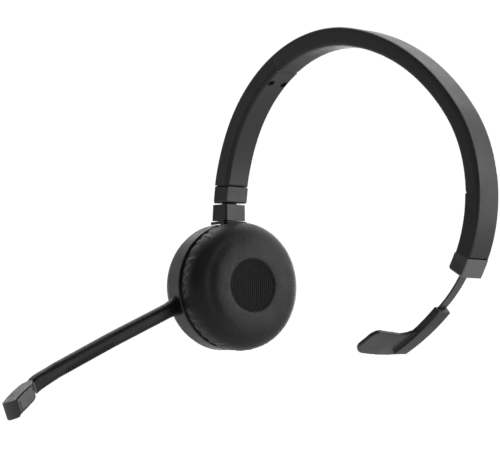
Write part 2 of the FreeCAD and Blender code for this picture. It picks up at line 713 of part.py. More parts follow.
def chassis_screws():
    """Three screws that hold the board and the outer cover on the chassis."""
    screws = []
    for x, y in screw_circle():
        shank = cylinder(1.0, BOARD[0] - 0.2, -4.0, x, y)
        screws.append(shank.fuse(cylinder(1.8, BOARD[0] - 1.0, BOARD[0], x, y)))
    return Part.makeCompound(screws)


def boss_ring():
    """Inner frame with three screw bosses, glued into the sleeve."""
    ring = tube(SLEEVE_RADIUS - SLEEVE_WALL, SLEEVE_RADIUS - 3.9, -6.2, 1.0)
    for x, y in screw_circle():
        boss = cylinder(2.6, BOARD[1], -2.0, x, y).cut(cylinder(1.0, BOARD[1] - 0.2, -3.5, x, y))
        ring = ring.fuse(boss)
    return ring.removeSplitter()


def speaker_frame():
    basket = tube(18.2, 14.5, 2.2, 6.4)
    back = tube(14.6, 9.5, 2.2, 3.2)
    return basket.fuse(back).removeSplitter()


def speaker_magnet():
    return cylinder(9.5, -1.8, 3.6).cut(tube(5.8, 4.9, 1.0, 4.0))


def voice_coil():
    return tube(5.6, 5.1, 1.3, 5.2)


def speaker_diaphragm():
    cone = revolved([(5.1, 5.2), (9.0, 5.9), (14.5, 5.3), (14.5, 5.5), (9.0, 6.15), (5.1, 5.45)])
    dome = revolved([(0, 6.2), (3.0, 5.9), (5.1, 5.2), (5.1, 5.45), (3.0, 6.15), (0, 6.45)])
    return cone.fuse(dome).removeSplitter()


def cushion_plate():
    """Ring that the cushion's skirt is stretched over, with sound holes in front of the speaker."""
    plate = cylinder(28.4, FLANGE[1], 7.7)
    for ring_radius, count in ((0.0, 1), (4.0, 6), (8.0, 12)):
        for i in range(count):
            a = 2 * math.pi * i / count
            x, y = ring_radius * math.cos(a), ring_radius * math.sin(a)
            plate = plate.cut(cylinder(1.1, 6, 9, x, y))
    return plate


def ear_cushion():
    """Foam ring with a soft cover; its skirt wraps the edge of the plate."""
    body = tube(CUSHION_RADIUS, SOUND_RADIUS, 7.7, FRONT)
    skirt = tube(CUSHION_RADIUS, 28.4, CUSHION_BACK, 7.7)
    body = body.fuse(skirt).removeSplitter()
    rim = along(body, lambda e: abs(e.Length - 2 * math.pi * CUSHION_RADIUS) < 0.1
                and e.BoundBox.ZMin > FRONT - 0.1)
    body = body.makeFillet(6.0, rim)
    back = along(body, lambda e: abs(e.Length - 2 * math.pi * CUSHION_RADIUS) < 0.1
                 and e.BoundBox.ZMax < CUSHION_BACK + 0.1)
    return body.makeFillet(1.5, back)


def cushion_cloth():
    """Acoustically open cloth that closes the cushion's opening."""
    return cylinder(SOUND_RADIUS, FRONT - 1.2, FRONT - 0.6)


# ---- boom pieces, in the cup's local frame --------------------------------------------------------
def boom_point(forward, up, side=0.0):
    return V(-forward, up, BOOM_PLANE + side)


def laid_on_boom(shape, start, end):
    """Moves a piece that was made along the x axis onto the boom's centre line."""
    a, b = boom_point(*start), boom_point(*end)
    shape.rotate(V(0, 0, 0), V(0, 0, 1), math.degrees(math.atan2(b.y - a.y, b.x - a.x)))
    shape.translate(a)
    return shape


def boom_bar(start, end, height, width, radius):
    """Rounded bar between two points of the boom's centre line."""
    length = (boom_point(*end) - boom_point(*start)).Length
    bar = rounded_box((0, -height / 2, -width / 2), (length, height / 2, width / 2), radius, V(1, 0, 0))
    return laid_on_boom(bar, start, end)


def boom_section(forward, up, slope, height, width, radius):
    """Rounded rectangle across the boom: its centre, slope below the horizontal and size."""
    a = math.radians(slope)
    normal = V(-math.sin(a), math.cos(a), 0)
    centre = boom_point(forward, up)
    h, w = height / 2, width / 2
    c = radius * (1 - math.cos(math.radians(45)))

    def at(u, v):
        return centre + normal * u + V(0, 0, v)

    edges = []
    for su, sv in ((1, 1), (1, -1), (-1, -1), (-1, 1)):
        ends = [at(su * (h - radius), sv * w), at(su * h, sv * (w - radius))]
        ends = ends if su * sv > 0 else ends[::-1]
        edges.append(Part.Arc(ends[0], at(su * (h - c), sv * (w - c)), ends[1]).toShape())
    wire = []
    for i in range(4):
        wire.append(edges[i])
        wire.append(line(edges[i].Vertexes[-1].Point, edges[(i + 1) % 4].Vertexes[0].Point))
    return Part.Wire(wire)


def boom_loft(sections):
    body = Part.makeLoft([boom_section(*section) for section in sections], True, False)
    return body if body.Volume > 0 else body.reversed()


def boom_ring():
    """Ring that turns round the chassis sleeve and carries the boom."""
    low, high = RING
    ring = tube(RING_RADIUS, SLEEVE_RADIUS + RUNNING, low, high)
    rims = along(ring, lambda e: abs(e.Length - 2 * math.pi * RING_RADIUS) < 0.1)
    return ring.makeFillet(0.6, rims)


def flexible_side():
    """Everything past the plane where the boom's flexible part begins."""
    return laid_on_boom(box((0, -15, -15), (30, 15, 15)), BOOM_FLEX_START, BOOM_FLEX_END)


def boom_arm_sections():
    """Evenly spaced sections of the straight arm, which widens towards the ring."""
    inner, outer, extra = BOOM_FLARE
    height, width = BOOM_SECTION
    rise = (BOOM_FLEX_START[1] - BOOM_ROOT[1]) / (BOOM_FLEX_START[0] - BOOM_ROOT[0])
    sections = []
    for i in range(15):
        forward = inner + (BOOM_ARM_TIP[0] - inner) * i / 14
        up = BOOM_ROOT[1] + rise * (forward - BOOM_ROOT[0])
        flare = max(0.0, (outer - forward) / (outer - inner)) ** 2.3
        sections.append((forward, up, math.degrees(math.atan(-rise)), height + extra * flare, width, 2.6))
    return sections


def boom_arm():
    """Rigid inner part of the boom, which widens into the ring."""
    arm = boom_loft(boom_arm_sections())
    arm = arm.cut(cylinder(RING_RADIUS, RING[0] - 8, RING[1] + 5)).cut(flexible_side())
    return arm.cut(mute_button_prism(BUTTON_CLEARANCE, 2.2)).cut(boom_wire())


def boom_wire():
    """Microphone lead that runs through the boom's inner part."""
    wire = boom_bar(BOOM_ROOT, BOOM_ARM_TIP, 1.2, 1.2, 0.55)
    wire.translate(V(0, 0, 1.2))
    return wire.cut(cylinder(RING_RADIUS, RING[0] - 5, RING[1] + 5)).cut(flexible_side())


def boom_friction_washer():
    """Wave washer between the ring and the flange that holds the boom where it is put."""
    return tube(RING_RADIUS - 1.4, SLEEVE_RADIUS + 0.3, RING[1] + 0.02, RING[1] + 0.18)


MUTE_FORWARD = 44.0


def mute_button_prism(extra, depth):
    """Pill-shaped button on the boom's outer side, or the pocket for it when extra is positive."""
    share = (MUTE_FORWARD - BOOM_ROOT[0]) / (BOOM_FLEX_START[0] - BOOM_ROOT[0])
    up = BOOM_ROOT[1] + share * (BOOM_FLEX_START[1] - BOOM_ROOT[1])
    face = BOOM_PLANE - BOOM_SECTION[1] / 2
    slope = math.degrees(math.atan2(BOOM_FLEX_START[1] - BOOM_ROOT[1],
                                    -(BOOM_FLEX_START[0] - BOOM_ROOT[0])))
    prism = rounded_box((-4.5 - extra, -1.7 - extra, -0.4), (4.5 + extra, 1.7 + extra, depth),
                        1.6 + extra, V(0, 0, 1))
    prism.rotate(V(0, 0, 0), V(0, 0, 1), slope)
    prism.translate(V(-MUTE_FORWARD, up, face))
    return prism


def mute_button():
    return mute_button_prism(0, 1.4)


def flex_sleeve():
    """Rubber sleeve of the boom's flexible part, with shallow grooves round its lower half."""
    height, width = BOOM_SECTION
    length = (boom_point(*BOOM_FLEX_END) - boom_point(*BOOM_FLEX_START)).Length
    inside = rounded_box((-1, RIB_DEPTH - height / 2, RIB_DEPTH - width / 2),
                         (length + 1, height / 2 - RIB_DEPTH, width / 2 - RIB_DEPTH), 2.4, V(1, 0, 0))
    pitch = length / RIB_COUNT
    grooves = []
    for i in range(1, RIB_COUNT):
        low = (i * pitch - 0.2, 0.4, -width)
        high = (i * pitch + 0.2, height, width)
        grooves.append(box(low, high).cut(inside))
    grooves = laid_on_boom(Part.makeCompound(grooves), BOOM_FLEX_START, BOOM_FLEX_END)
    sleeve = boom_bar(BOOM_FLEX_START, BOOM_FLEX_END, height, width, 2.6)
    return sleeve.cut(grooves).cut(gooseneck_wire())


def gooseneck_wire():
    """Soft wire in the sleeve that keeps the bend it is given."""
    return boom_bar(BOOM_FLEX_START, BOOM_FLEX_END, 1.6, 1.6, 0.78)


# ---- microphone head -----------------------------------------------------------------------------
MIC_CENTRE = (113.0, -54.6)


def head_frame(shape):
    """Places a piece drawn with x along the head's length, y across it and z up its end face."""
    lean = math.radians(HEAD_LEAN)
    x, z = V(-math.sin(lean), -math.cos(lean), 0), V(-math.cos(lean), math.sin(lean), 0)
    place = FreeCAD.Placement(FreeCAD.Matrix(
        x.x, 0, z.x, 0,
        x.y, 0, z.y, 0,
        0, 1, 0, BOOM_PLANE,
        0, 0, 0, 1,
    ))
    shape.Placement = place.multiply(shape.Placement)
    return shape


def flat_arc(a, b, c):
    return Part.Arc(V(*a, 0), V(*b, 0), V(*c, 0)).toShape()


def head_values(distance):
    """Top, bottom, sides and corner radii of the head at a distance along it."""
    rows = [row for row in HEAD_SECTIONS if row[0] <= distance + 1e-6]
    i = min(len(rows), len(HEAD_SECTIONS) - 1)
    first, second = HEAD_SECTIONS[i - 1], HEAD_SECTIONS[i]
    share = (distance - first[0]) / (second[0] - first[0])
    return [u + (v - u) * share for u, v in zip(first[1:], second[1:])]


def head_section(distance):
    """Rounded outline across the head."""
    top, bottom, near, far, upper, lower = head_values(distance)
    corners = [(near, top, 1, 1, upper), (far, top, -1, 1, upper),
               (far, bottom, -1, -1, lower), (near, bottom, 1, -1, lower)]
    arcs = []
    for w, z, sw, sz, radius in corners:
        inset = radius * (1 - math.cos(math.radians(45)))
        ends = [V(distance, w, z - sz * radius), V(distance, w - sw * radius, z)]
        ends = ends if sw * sz > 0 else ends[::-1]
        arcs.append(Part.Arc(ends[0], V(distance, w - sw * inset, z - sz * inset), ends[1]).toShape())
    edges = []
    for i in range(4):
        edges.append(arcs[i])
        edges.append(line(arcs[i].Vertexes[-1].Point, arcs[(i + 1) % 4].Vertexes[0].Point))
    return Part.Wire(edges)


def nose_plan():
    """Outline of the head's rounded, slanted nose from above."""
    far, near = HEAD_SIDES
    edges = [
        line(V(110, far - 0.3, 0), V(110, near + 0.3, 0)),
        line(V(110, near + 0.3, 0), V(129.0, near + 0.3, 0)),
        flat_arc((129.0, near + 0.3), (129.95, near - 0.15), (130.25, near - 0.8)),
        flat_arc((130.25, near - 0.8), (131.75, -0.6), (132.4, far + 0.9)),
        flat_arc((132.4, far + 0.9), (132.15, far + 0.15), (131.2, far - 0.3)),
        line(V(131.2, far - 0.3, 0), V(110, far - 0.3, 0)),
    ]
    return Part.Face(Part.Wire(edges))


def head_block():
    """Solid microphone head from the neck's end plane to its nose."""
    first, last = HEAD_SECTIONS[0][0], HEAD_SECTIONS[-1][0]
    steps = round((last - first) / 1.2)
    wires = [head_section(first + (last - first) * i / steps) for i in range(steps + 1)]
    body = Part.makeLoft(wires, True, False)
    body = body if body.Volume > 0 else body.reversed()
    plan = nose_plan().extrude(V(0, 0, 90))
    plan.translate(V(0, 0, -60))
    return head_frame(body.common(plan))


def end_part():
    """Everything in front of the seam between the housing and its end cover."""
    corners = [V(127.45, 8, 0), V(131.25, -9, 0), V(150, -9, 0), V(150, 8, 0)]
    edges = [line(corners[i], corners[(i + 1) % 4]) for i in range(4)]
    block = Part.Face(Part.Wire(edges)).extrude(V(0, 0, 90))
    block.translate(V(0, 0, -60))
    return head_frame(block)


def boom_neck():
    """Rigid bar from the flexible part to the microphone head."""
    return boom_loft(NECK_SECTIONS)


def round_mark():
    """Shallow round groove in the head's upper face."""
    groove = tube(2.75, 2.45, -0.25, 1.0)
    groove.rotate(V(0, 0, 0), V(0, 1, 0), -90)
    groove.rotate(V(0, 0, 0), V(0, 0, 1), -45)
    groove.translate(boom_point(*MARK_CENTRE))
    return groove


def mic_housing():
    body = head_block().cut(end_part())
    return body.cut(Part.makeSphere(2.3, boom_point(*MIC_CENTRE))).cut(round_mark())


def mic_end_cover():
    return head_block().common(end_part()).cut(grille_seat(0.0)).cut(round_mark())


def grille_seat(shrink):
    """Slot in the end cover's head-side face."""
    near = HEAD_SIDES[1]
    low = (128.35 + shrink, near - 0.9, -16.9 + shrink)
    high = (129.35 - shrink, near + 1 - 20 * shrink, -11.3 - shrink)
    return head_frame(box(low, high))


def mic_grille():
    """Perforated strip with two rows of sound holes."""
    plate = grille_seat(0.05).common(head_block())
    low, pitch = -16.45, 0.78
    for row in (128.62, 129.08):
        for i in range(7):
            hole = Part.makeCylinder(0.17, 4, V(row, HEAD_SIDES[1] - 2, low + pitch * i), V(0, 1, 0))
            plate = plate.cut(head_frame(hole))
    return plate


def mic_capsule():
    axis = V(-0.9, -0.4, 0)
    axis.normalize()
    centre = boom_point(*MIC_CENTRE)
    return Part.makeCylinder(1.5, 2.4, centre - axis * 1.2, axis)


def mic_boot():
    """Rubber boot round the capsule that keeps handling noise out."""
    return Part.makeSphere(2.3, boom_point(*MIC_CENTRE)).cut(mic_capsule())


# ---- build ---------------------------------------------------------------------------------------
BAND_NODES = {
    "arm_outer_shell": arm_outer_shell,
    "arm_inner_cover": arm_inner_cover,
    "arm_cover_screws": arm_cover_screws,
    "ear_detent_spring": ear_detent_spring,
    "spring_band": spring_band,
    "outer_strip": outer_strip,
    "crown_pad": crown_pad,
    "temple_guide": temple_guide,
    "temple_detent_spring": temple_detent_spring,
    "end_cap": end_cap,
    "temple_strip": temple_strip,
    "temple_pad_core": temple_pad_core,
    "temple_pad": temple_pad,
    "ear_slider_strip": ear_slider_strip,
    "upper_hinge_block": upper_hinge_block,
    "swivel_post": swivel_post,
    "swivel_clip": swivel_clip,
    "lower_hinge_block": lower_hinge_block,
}
CUP_NODES = {
    "tilt_pin": tilt_pin,
    "cup_chassis": cup_chassis,
    "outer_cover": outer_cover,
    "boss_ring": boss_ring,
    "chassis_screws": chassis_screws,
    "circuit_board": circuit_board,
    "board_components": board_components,
    "button_domes": button_domes,
    "usb_port": usb_port,
    "battery": battery,
    "light_pipe": light_pipe,
    "speaker_frame": speaker_frame,
    "speaker_magnet": speaker_magnet,
    "voice_coil": voice_coil,
    "speaker_diaphragm": speaker_diaphragm,
    "cushion_plate": cushion_plate,
    "ear_cushion": ear_cushion,
    "cushion_cloth": cushion_cloth,
    "call_button": call_button,
    "volume_up_button": lambda: volume_button(1),
    "volume_down_button": lambda: volume_button(-1),
    "power_slider": power_slider,
    "boom_ring": boom_ring,
    "boom_friction_washer": boom_friction_washer,
    "boom_arm": boom_arm,
    "boom_wire": boom_wire,
    "mute_button": mute_button,
    "flex_sleeve": flex_sleeve,
    "gooseneck_wire": gooseneck_wire,
    "boom_neck": boom_neck,
    "mic_housing": mic_housing,
    "mic_end_cover": mic_end_cover,
    "mic_grille": mic_grille,
    "mic_capsule": mic_capsule,
    "mic_boot": mic_boot,
}


def main():
    os.makedirs("parts", exist_ok=True)
    shapes = {name: make() for name, make in BAND_NODES.items()}
    shapes.update({name: in_cup(make()) for name, make in CUP_NODES.items()})
    for name, shape in shapes.items():
        if not shape.isValid() or shape.Volume <= 0:
            raise ValueError("%s is not a valid solid" % name)
        shape.exportStep("parts/%s.step" % name)
        print(name, len(shape.Solids), "solid(s)", round(shape.Volume, 1), "mm3")


main()
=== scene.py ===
"""Single-ear office headset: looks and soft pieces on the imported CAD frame. Metres, row frame."""
import bpy
import bmesh
import json
import math
import random
from mathutils import Matrix, Vector


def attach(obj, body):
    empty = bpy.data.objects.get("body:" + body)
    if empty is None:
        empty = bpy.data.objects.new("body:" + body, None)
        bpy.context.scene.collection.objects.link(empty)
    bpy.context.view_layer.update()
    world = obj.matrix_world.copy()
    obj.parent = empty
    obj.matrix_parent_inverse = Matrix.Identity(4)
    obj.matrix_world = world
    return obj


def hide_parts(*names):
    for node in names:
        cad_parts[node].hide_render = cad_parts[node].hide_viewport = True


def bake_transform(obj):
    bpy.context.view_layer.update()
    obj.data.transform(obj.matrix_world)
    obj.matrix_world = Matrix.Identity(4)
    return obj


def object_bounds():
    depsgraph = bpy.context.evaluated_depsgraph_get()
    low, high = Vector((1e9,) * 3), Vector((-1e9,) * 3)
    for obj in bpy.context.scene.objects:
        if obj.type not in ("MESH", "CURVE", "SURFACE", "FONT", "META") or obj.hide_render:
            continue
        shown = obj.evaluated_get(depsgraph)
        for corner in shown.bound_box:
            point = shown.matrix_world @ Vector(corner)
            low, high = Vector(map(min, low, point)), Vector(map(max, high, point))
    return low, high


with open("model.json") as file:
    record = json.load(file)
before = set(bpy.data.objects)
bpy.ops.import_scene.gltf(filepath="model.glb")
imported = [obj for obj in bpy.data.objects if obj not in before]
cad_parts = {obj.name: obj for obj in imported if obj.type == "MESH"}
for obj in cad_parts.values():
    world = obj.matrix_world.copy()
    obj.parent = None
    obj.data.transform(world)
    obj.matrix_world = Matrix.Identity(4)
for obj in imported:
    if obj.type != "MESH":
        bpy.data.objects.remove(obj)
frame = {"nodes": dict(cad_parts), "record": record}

CAD_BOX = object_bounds()
NODES = frame["nodes"]
MM = 0.001
TOE = math.radians(8.5)
CUP_N = Vector((math.cos(TOE), -math.sin(TOE), 0))
CUP_T = Vector((math.sin(TOE), math.cos(TOE), 0))
CUP_CENTRE = Vector((-73.4, 0, -109.6)) * MM
GRAIN_SCALE = 9000    # scale that the textures of moulded plastic are set from
EDGE_WEAR = 0.35      # greatest share of the lighter tone on the edges of moulded plastic
KNIT_PITCH = 0.00115  # width of one row of knit in the speaker cloth, in metres


def cup_point(x, y, z):
    """Row position of a point in the ear cup's frame, in millimetres: x to the rear, y up, z to the head."""
    return CUP_CENTRE + (CUP_T * x + Vector((0, 0, 1)) * y + CUP_N * z) * MM


# ---- materials -----------------------------------------------------------------------------------
def ramp(tree, source, low, high, start, end):
    """Maps a value between start and end onto low to high."""
    node = tree.nodes.new("ShaderNodeMapRange")
    node.inputs["From Min"].default_value = start
    node.inputs["From Max"].default_value = end
    node.inputs["To Min"].default_value = low
    node.inputs["To Max"].default_value = high
    tree.links.new(source, node.inputs["Value"])
    return node.outputs["Result"]


def math_node(tree, operation, a, b):
    node = tree.nodes.new("ShaderNodeMath")
    node.operation = operation
    for socket, value in zip(node.inputs, (a, b)):
        if hasattr(value, "is_output"):
            tree.links.new(value, socket)
        else:
            socket.default_value = value
    return node.outputs[0]


def mix_colour(tree, factor, a, b):
    node = tree.nodes.new("ShaderNodeMix")
    node.data_type = "RGBA"
    tree.links.new(factor, node.inputs["Factor"])
    for name, value in (("A", a), ("B", b)):
        socket = [s for s in node.inputs if s.name == name and s.type == "RGBA"][0]
        if hasattr(value, "is_output"):
            tree.links.new(value, socket)
        else:
            socket.default_value = (*value, 1)
    return [s for s in node.outputs if s.type == "RGBA"][0]


def noise(tree, coords, scale, detail=3.0, roughness=0.55):
    node = tree.nodes.new("ShaderNodeTexNoise")
    node.inputs["Scale"].default_value = scale
    node.inputs["Detail"].default_value = detail
    node.inputs["Roughness"].default_value = roughness
    tree.links.new(coords, node.inputs["Vector"])
    return node.outputs["Fac"]


def cells(tree, coords, scale, feature="F1"):
    node = tree.nodes.new("ShaderNodeTexVoronoi")
    node.feature = feature
    node.inputs["Scale"].default_value = scale
    tree.links.new(coords, node.inputs["Vector"])
    return node.outputs["Distance"]


def new_material(name):
    material = bpy.data.materials.new(name)
    material.use_nodes = True
    tree = material.node_tree
    shader = tree.nodes["Principled BSDF"]
    coords = tree.nodes.new("ShaderNodeTexCoord").outputs["Object"]
    return material, tree, shader, coords


def bump(tree, shader, layers):
    """Chains bump layers (height, distance in metres, strength) onto the shader."""
    normal = None
    for height, distance, strength in layers:
        node = tree.nodes.new("ShaderNodeBump")
        node.inputs["Distance"].default_value = distance
        node.inputs["Strength"].default_value = strength
        tree.links.new(height, node.inputs["Height"])
        if normal is not None:
            tree.links.new(normal, node.inputs["Normal"])
        normal = node.outputs["Normal"]
    tree.links.new(normal, shader.inputs["Normal"])


def edge_wear(tree, radius):
    """0.5 on sharp edges, 0 on flat areas."""
    bevel = tree.nodes.new("ShaderNodeBevel")
    bevel.inputs["Radius"].default_value = radius
    geometry = tree.nodes.new("ShaderNodeNewGeometry")
    dot = tree.nodes.new("ShaderNodeVectorMath")
    dot.operation = "DOT_PRODUCT"
    tree.links.new(bevel.outputs["Normal"], dot.inputs[0])
    tree.links.new(geometry.outputs["Normal"], dot.inputs[1])
    return ramp(tree, dot.outputs["Value"], 0.5, 0.0, 0.85, 0.99)


def plastic(name, colour, rough, grain=0.25, lift=1.5, coat=0.0, metal=0.0, shine=0.5):
    """Moulded plastic: spark-eroded grain, faint handling polish, lighter rubbed edges."""
    material, tree, shader, coords = new_material(name)
    cloud = noise(tree, coords, 45, 4)
    fine = noise(tree, coords, GRAIN_SCALE * 0.25, 2)
    lighter = [min(1, c * lift + 0.004) for c in colour]
    tone = mix_colour(tree, ramp(tree, cloud, 0, 0.55, 0.35, 0.75), colour, lighter)
    rubbed = ramp(tree, noise(tree, coords, 160), 0.2, EDGE_WEAR * 2, 0.3, 0.7)
    worn = math_node(tree, "MULTIPLY", edge_wear(tree, 0.0004), rubbed)
    tone = mix_colour(tree, worn, tone, [min(1, c * 2.0 + 0.02) for c in colour])
    tree.links.new(tone, shader.inputs["Base Color"])
    smudge = noise(tree, coords, 90, 5, 0.6)
    tree.links.new(ramp(tree, smudge, rough - 0.06, rough + 0.08, 0.3, 0.7), shader.inputs["Roughness"])
    shader.inputs["Metallic"].default_value = metal
    shader.inputs["Specular IOR Level"].default_value = shine
    shader.inputs["Coat Weight"].default_value = coat
    shader.inputs["Coat Roughness"].default_value = 0.12
    spark = cells(tree, coords, GRAIN_SCALE * 0.3)
    bump(tree, shader, [(spark, 0.00004, grain), (fine, 0.00003, grain * 0.6)])
    return material


def rubber(name, colour, rough=0.6, sheen=0.15, shine=0.5, speckle=0.35):
    """Soft-touch rubber: velvety, with dust-like speckle and shallow skin marks."""
    material, tree, shader, coords = new_material(name)
    cloud = noise(tree, coords, 70, 5)
    tone = mix_colour(tree, ramp(tree, cloud, 0, 0.8, 0.35, 0.7), colour, [c * 1.5 + 0.006 for c in colour])
    dust = ramp(tree, noise(tree, coords, 2600, 1), 0, speckle, 0.66, 0.8)
    tone = mix_colour(tree, dust, tone, [c * 2.2 + 0.02 for c in colour])
    tree.links.new(tone, shader.inputs["Base Color"])
    tree.links.new(ramp(tree, cloud, rough - 0.05, rough + 0.1, 0.3, 0.7), shader.inputs["Roughness"])
    shader.inputs["Sheen Weight"].default_value = sheen
    shader.inputs["Sheen Roughness"].default_value = 0.5
    shader.inputs["Specular IOR Level"].default_value = shine
    layers = [
        (noise(tree, coords, 2200, 2), 0.00005, speckle),
        (noise(tree, coords, 220, 3), 0.0002, 0.15),
    ]
    bump(tree, shader, layers)
    return material


def leather(name, colour):
    """Protein leatherette: pebbled grain, fine creases and a soft sheen."""
    material, tree, shader, coords = new_material(name)
    pebble = cells(tree, coords, 1500, "SMOOTH_F1")
    creases = cells(tree, coords, 420, "DISTANCE_TO_EDGE")
    cloud = noise(tree, coords, 60, 5)
    tone = mix_colour(tree, ramp(tree, cloud, 0, 0.7, 0.35, 0.7), colour, [c * 1.5 + 0.004 for c in colour])
    pit = ramp(tree, pebble, 0.0, 0.5, 0.2, 0.75)
    tone = mix_colour(tree, pit, tone, [c * 0.55 for c in colour])
    tree.links.new(tone, shader.inputs["Base Color"])
    tree.links.new(ramp(tree, cloud, 0.40, 0.54, 0.3, 0.7), shader.inputs["Roughness"])
    shader.inputs["Specular IOR Level"].default_value = 0.33
    shader.inputs["Sheen Weight"].default_value = 0.03
    shader.inputs["Sheen Roughness"].default_value = 0.45
    crease = ramp(tree, creases, 0.0, 1.0, 0.0, 0.06)
    layers = [
        (pebble, 0.00012, 0.45),
        (crease, 0.00008, 0.35),
        (noise(tree, coords, 260, 4), 0.0004, 0.25),
    ]
    bump(tree, shader, layers)
    return material


def woven(name, colour):
    """Knitted speaker cloth: two crossing sets of threads with painted shade in the gaps between them, drawn
    by the shader.
    """
    material, tree, shader, coords = new_material(name)
    split = tree.nodes.new("ShaderNodeSeparateXYZ")
    tree.links.new(coords, split.inputs[0])
    upward = math_node(tree, "MULTIPLY", split.outputs["Z"], math.pi / KNIT_PITCH)
    sway = math_node(tree, "MULTIPLY", math_node(tree, "SINE", upward, 0.0), 0.9)
    across = math_node(tree, "MULTIPLY", split.outputs["Y"], 2 * math.pi / KNIT_PITCH)
    row = math_node(tree, "SINE", math_node(tree, "ADD", across, sway), 0.0)
    climb = math_node(tree, "MULTIPLY", split.outputs["Z"], 2 * math.pi / (KNIT_PITCH * 0.7))
    stitch = math_node(tree, "SINE", climb, 0.0)
    thread = math_node(tree, "ADD", row, math_node(tree, "MULTIPLY", stitch, 0.35))
    # painted shade: the gaps between the threads are darkened for the shade seen through them
    painted_gap_shade = ramp(tree, thread, 1.0, 0.0, -0.7, 0.7)
    cloud = noise(tree, coords, 300, 3)
    tone = mix_colour(tree, painted_gap_shade, [c * 2.4 + 0.008 for c in colour], [c * 0.15 for c in colour])
    tone = mix_colour(tree, ramp(tree, cloud, 0, 0.3, 0.4, 0.7), tone, [c * 2.0 for c in colour])
    tree.links.new(tone, shader.inputs["Base Color"])
    shader.inputs["Roughness"].default_value = 0.85
    shader.inputs["Specular IOR Level"].default_value = 0.12
    shader.inputs["Sheen Weight"].default_value = 0.02
    bump(tree, shader, [(thread, 0.0002, 0.6), (noise(tree, coords, 5000, 1), 0.00005, 0.4)])
    return material


def brushed(name, colour, rough=0.3, stretch=(1, 30, 1)):
    """Bare metal: long fine scratches, whose direction stretch sets, and stains."""
    material, tree, shader, coords = new_material(name)
    mapping = tree.nodes.new("ShaderNodeMapping")
    mapping.inputs["Scale"].default_value = stretch
    tree.links.new(coords, mapping.inputs["Vector"])
    scratch = noise(tree, mapping.outputs["Vector"], 600, 4, 0.7)
    stain = noise(tree, coords, 120, 4)
    tone = mix_colour(tree, ramp(tree, stain, 0, 0.6, 0.35, 0.75), colour, [c * 0.72 for c in colour])
    tone = mix_colour(tree, ramp(tree, scratch, 0, 0.35, 0.5, 0.8), tone, [min(1, c * 1.3) for c in colour])
    tree.links.new(tone, shader.inputs["Base Color"])
    shader.inputs["Metallic"].default_value = 1.0
    tree.links.new(ramp(tree, scratch, rough - 0.06, rough + 0.12, 0.3, 0.7), shader.inputs["Roughness"])
    bump(tree, shader, [(scratch, 0.00003, 0.3)])
    return material


def clear(name, colour):
    material, tree, shader, coords = new_material(name)
    frost = noise(tree, coords, 900, 3)
    tone = mix_colour(tree, ramp(tree, frost, 0, 0.5, 0.4, 0.7), colour, [c * 0.8 for c in colour])
    tree.links.new(tone, shader.inputs["Base Color"])
    shader.inputs["Transmission Weight"].default_value = 0.6
    tree.links.new(ramp(tree, frost, 0.25, 0.45, 0.3, 0.7), shader.inputs["Roughness"])
    bump(tree, shader, [(frost, 0.00004, 0.3)])
    return material


MATERIALS = {
    "band_plastic": plastic("Band_plastic", (0.011, 0.011, 0.012), 0.42),
    "pad_rubber": rubber("Band_pad_rubber", (0.010, 0.010, 0.011), 0.52, 0.05),
    "cap_plastic": plastic("Cap_plastic", (0.011, 0.011, 0.012), 0.36, grain=0.12),
    "cap_gloss": plastic("Cap_gloss", (0.17, 0.17, 0.176), 0.2, grain=0.06, lift=1.1, metal=0.9),
    # painted shade: a darker copy of the cup plastic for the cup chassis, standing in for the shade under
    # the ring's edge
    "chassis_painted_shade": plastic("Chassis_painted_shade", (0.003, 0.003, 0.0033), 0.6),
    "strip_steel": brushed("Strip_steel", (0.12, 0.12, 0.125), 0.34),
    "spring_steel": brushed("Spring_steel", (0.38, 0.38, 0.40), 0.36),
    "screw_steel": brushed("Screw_steel", (0.015, 0.015, 0.016), 0.45, (1, 1, 1)),
    "temple_rubber": rubber("Temple_rubber", (0.009, 0.009, 0.0098), 0.46, 0.03),
    "core_plastic": plastic("Core_plastic", (0.06, 0.06, 0.066), 0.5),
    "cup_plastic": plastic("Cup_plastic", (0.009, 0.009, 0.010), 0.45),
    "ring_plastic": plastic("Ring_plastic", (0.012, 0.012, 0.013), 0.40),
    "boom_plastic": plastic("Boom_plastic", (0.005, 0.005, 0.0055), 0.42, grain=0.12, shine=0.24),
    "button_plastic": plastic("Button_plastic", (0.03, 0.03, 0.033), 0.30, grain=0.1, coat=0.2),
    "leatherette": leather("Leatherette", (0.0055, 0.0054, 0.0055)),
    "mesh_cloth": woven("Mesh_cloth", (0.010, 0.010, 0.0106)),
    "board_green": plastic("Board_green", (0.02, 0.11, 0.05), 0.35, coat=0.3),
    "chip_black": plastic("Chip_black", (0.03, 0.03, 0.033), 0.5),
    "port_metal": brushed("Port_metal", (0.6, 0.6, 0.61), 0.22, (1, 1, 20)),
    "battery_foil": brushed("Battery_foil", (0.42, 0.43, 0.45), 0.3, (1, 1, 6)),
    "light_clear": clear("Light_clear", (0.8, 0.84, 0.87)),
    "magnet_metal": brushed("Magnet_metal", (0.45, 0.45, 0.47), 0.28),
    "coil_copper": brushed("Coil_copper", (0.6, 0.28, 0.14), 0.3, (20, 1, 1)),
    "film": plastic("Film", (0.2, 0.19, 0.17), 0.3, coat=0.4),
    "sleeve_rubber": rubber("Sleeve_rubber", (0.005, 0.005, 0.0055), 0.44, 0.02, 0.26, 0.15),
    "mic_gloss": plastic("Mic_gloss", (0.008, 0.008, 0.0087), 0.30, grain=0.02, coat=0.3, shine=0.45),
    "grille_metal": brushed("Grille_metal", (0.07, 0.07, 0.075), 0.4, (1, 1, 1)),
}


